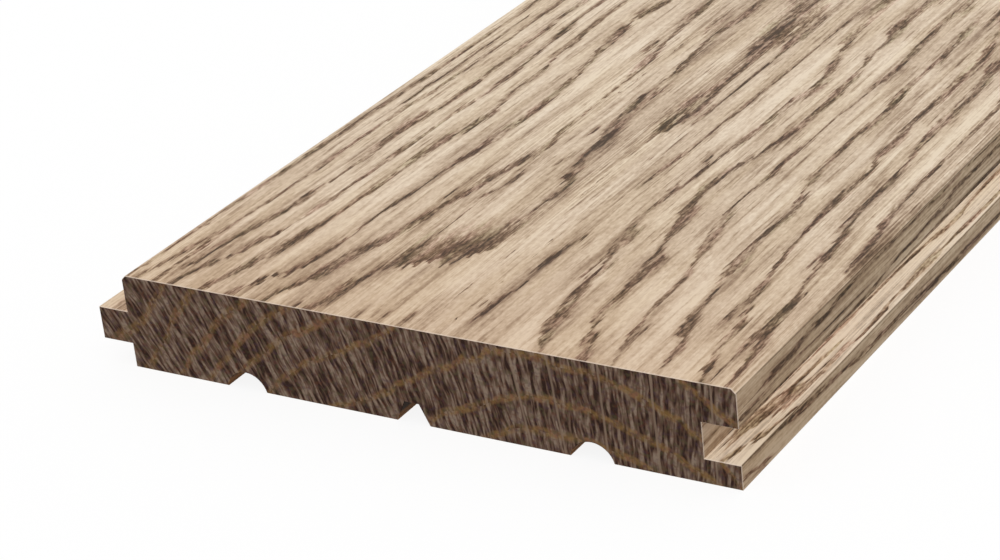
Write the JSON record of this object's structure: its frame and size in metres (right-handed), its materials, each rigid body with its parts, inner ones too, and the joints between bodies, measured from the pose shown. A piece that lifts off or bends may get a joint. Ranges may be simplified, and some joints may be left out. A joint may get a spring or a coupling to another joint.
{
  "type": "wide plank floorboard",
  "caption": "Solid oak floorboard with a tongue on one long edge, a groove on the other, bevelled face edges and relief channels in the underside.",
  "frame": {"origin": "on the plane of the underside, below the middle of the board's box, tongue included", "axes": "+Y along the board, +Z out of the face that is walked on, -X towards the tongue, +X towards the groove"},
  "size_m": [0.1474, 1.2, 0.021],
  "materials": {
    "oak": "brushed and matt oiled"
  },
  "bodies": {
    "root": {"floorboard": "oak"}
  },
  "joints": []
}
